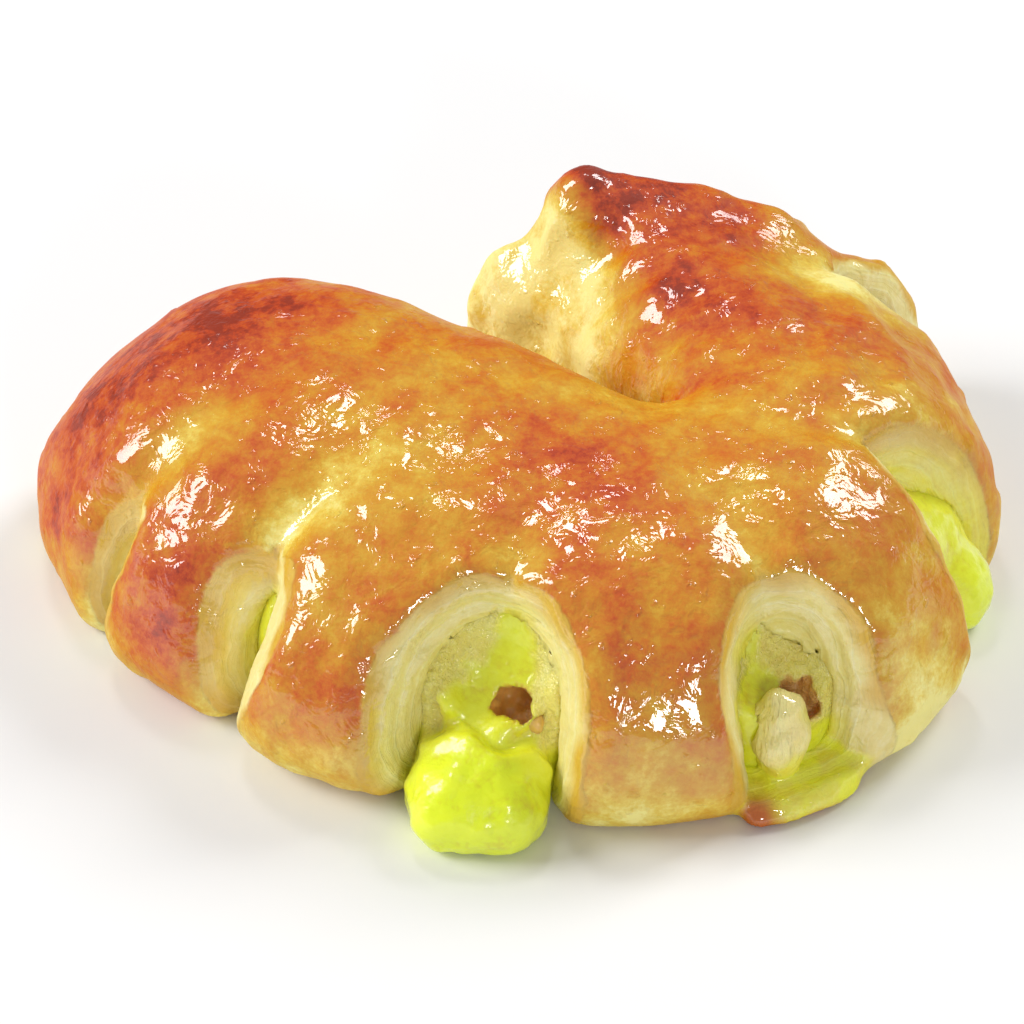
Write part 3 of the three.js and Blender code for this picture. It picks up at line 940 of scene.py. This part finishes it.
def dough_material():
    n = Nodes("glazed_dough")
    place = n.place()
    crust, fine_skin = crust_colour(n, place)
    crumb, soaked, layers = crumb_colours(n, place)
    edge = n.swing(n.noise(place, 500.0, detail=4), 0.8)
    crumb_share = n.step(n.plus(n.attribute("cut"), edge), 0.18, 0.75)
    colour = n.mix(crumb_share, crust, crumb)
    dry_lump = n.rest(n.times(n.attribute("lump"), 0.85))
    soak = n.times(n.times(n.attribute("soak"), crumb_share), dry_lump)
    colour = n.mix(soak, colour, soaked)
    clouds = n.noise(place, 150.0, detail=2)
    tongue = n.times(n.attribute("flap"), n.step(clouds, 0.42, 0.60))
    colour = n.mix(n.times(tongue, 0.8), colour, TONGUE_GREEN)
    colour = n.mix(n.attribute("tip"), colour, BURNT_TIP)
    burnt = n.times(n.attribute("flap"), n.attribute("base"))
    colour = n.mix(n.attribute("base"), colour, n.mix(burnt, BAKED_BASE, BURNT_TIP))

    glaze = glaze_bump(n, place, crumb_share)
    grooves = n.bump(n.times(layers, crumb_share), 0.8, 0.0006, glaze)
    grooves = n.bump(lump_fibres(n, place), 1.0, 0.0008, grooves)
    # The glaze shines less where the crust turns away from the eye.
    facing = n.node("ShaderNodeLayerWeight").outputs["Facing"]
    coat = n.rest(n.times(n.step(facing, 0.14, 0.64), 0.90))
    n.principled(
        Base_Color=colour,
        Roughness=0.5,
        Specular_IOR_Level=0.15,
        Normal=n.bump(fine_skin, 0.25, 0.00022, grooves),
        Subsurface_Weight=0.08,
        Subsurface_Radius=(1.0, 0.5, 0.2),
        Subsurface_Scale=0.002,
        Coat_Weight=coat,
        Coat_Roughness=0.04,
        Coat_IOR=1.75,
        Coat_Normal=glaze,
    )
    return n.material


def custard_material():
    n = Nodes("custard")
    place = n.place()
    clouds = n.noise(place, 190.0, detail=3, roughness=0.55)
    curd = n.noise(place, 900.0, detail=3, roughness=0.6)
    value = n.plus(n.times(clouds, 0.65), n.times(curd, 0.35))
    # Painted shade: the darker olive ramp is mixed in where the custard lies in recesses.
    recess_shade = n.times(n.attribute("recess_shade"), 0.85)
    colour = n.mix(recess_shade, n.ramp(value, CUSTARD_STOPS), n.ramp(value, RECESS_SHADE_STOPS))
    crumbly = n.attribute("crumbly")
    colour = n.mix(n.times(crumbly, 0.85), colour, n.ramp(value, CLINGING_STOPS))
    colour = n.mix(n.attribute("pocket"), colour, POCKET_BROWN)
    wet = n.bump(clouds, 0.5, 0.0009)
    wet = n.bump(n.times(curd, crumbly), 1.0, 0.0008, wet)
    n.principled(
        Base_Color=colour,
        Roughness=0.34,
        Normal=n.bump(curd, 0.5, 0.0003, wet),
        Subsurface_Weight=0.35,
        Subsurface_Radius=(1.0, 0.9, 0.25),
        Subsurface_Scale=0.004,
        Coat_Weight=0.8,
        Coat_Roughness=0.08,
        Coat_IOR=1.45,
        Coat_Normal=wet,
    )
    return n.material


def floor_material():
    n = Nodes("pale_floor")
    n.principled(Base_Color=(FLOOR_GREY, FLOOR_GREY, FLOOR_GREY, 1.0), Roughness=0.7)
    return n.material


# ---------------------------------------------------------------- floor, light and camera
# In metres, but for the sensor, which is in millimetres.
FLOOR_SIZE, FLOOR_DROP, FLOOR_GREY = 6.0, 0.0002, 0.88
SKY_STRENGTH = 0.32
SOFTBOX_DISTANCE = 2.0
# Softboxes: name, direction from the pastry, side, watts.
SOFTBOXES = [
    ("left_box", (-0.82, 0.02, 0.57), 0.96, 28.5),
    ("right_box", (0.58, 0.47, 0.67), 0.74, 19.0),
    ("back_box", (-0.12, 0.42, 0.90), 0.32, 3.9),
    ("front_box", (0.26, -0.88, 0.34), 0.36, 8.0),
]
CAMERA_ELEVATION = math.radians(40.0)
CAMERA_DISTANCE = 0.62
CAMERA_NEAR = 0.01
CAMERA_TARGET = Vector((0.0 - PLAN_MIDDLE[0], 58.0 - PLAN_MIDDLE[1], 18.0)) * MM
PIXELS_PER_MM = 6.45
IMAGE_WIDTH = 1024
SENSOR = 36.0


def add_floor():
    bpy.ops.mesh.primitive_plane_add(size=FLOOR_SIZE, location=(0, 0, -FLOOR_DROP))
    floor = bpy.context.object
    floor.name = "floor"
    floor.data.materials.append(floor_material())
    floor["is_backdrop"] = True


def add_sky():
    world = bpy.data.worlds.new("studio")
    bpy.context.scene.world = world
    world.use_nodes = True
    background = world.node_tree.nodes["Background"]
    background.inputs["Color"].default_value = (1.0, 1.0, 1.0, 1.0)
    background.inputs["Strength"].default_value = SKY_STRENGTH


def add_softbox(name, direction, side, watts):
    light = bpy.data.lights.new(name, "AREA")
    light.shape = "SQUARE"
    light.size = side
    light.energy = watts
    lamp = bpy.data.objects.new(name, light)
    lamp.location = Vector(direction).normalized() * SOFTBOX_DISTANCE
    lamp.rotation_euler = Vector(direction).to_track_quat("Z", "Y").to_euler()
    bpy.context.scene.collection.objects.link(lamp)


def add_camera():
    """The photo's view: PIXELS_PER_MM holds at the target, in an image IMAGE_WIDTH wide."""
    lens = bpy.data.cameras.new("camera")
    lens.sensor_width = SENSOR
    lens.lens = PIXELS_PER_MM * CAMERA_DISTANCE / MM * SENSOR / IMAGE_WIDTH
    lens.clip_start = CAMERA_NEAR
    camera = bpy.data.objects.new("camera", lens)
    back = Vector((0.0, -math.cos(CAMERA_ELEVATION), math.sin(CAMERA_ELEVATION)))
    camera.location = CAMERA_TARGET + back * CAMERA_DISTANCE
    camera.rotation_euler = back.to_track_quat("Z", "Y").to_euler()
    bpy.context.scene.collection.objects.link(camera)
    bpy.context.scene.camera = camera


# ---------------------------------------------------------------- build
dough = dress_dough()
dough.data.materials.append(dough_material())
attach(dough, "root")
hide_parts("dough")

custard = dress_custard()
custard.data.materials.append(custard_material())
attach(custard, "root")
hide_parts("custard")

add_floor()
add_sky()
for softbox in SOFTBOXES:
    add_softbox(*softbox)
add_camera()
bpy.context.scene.view_settings.view_transform = "Standard"
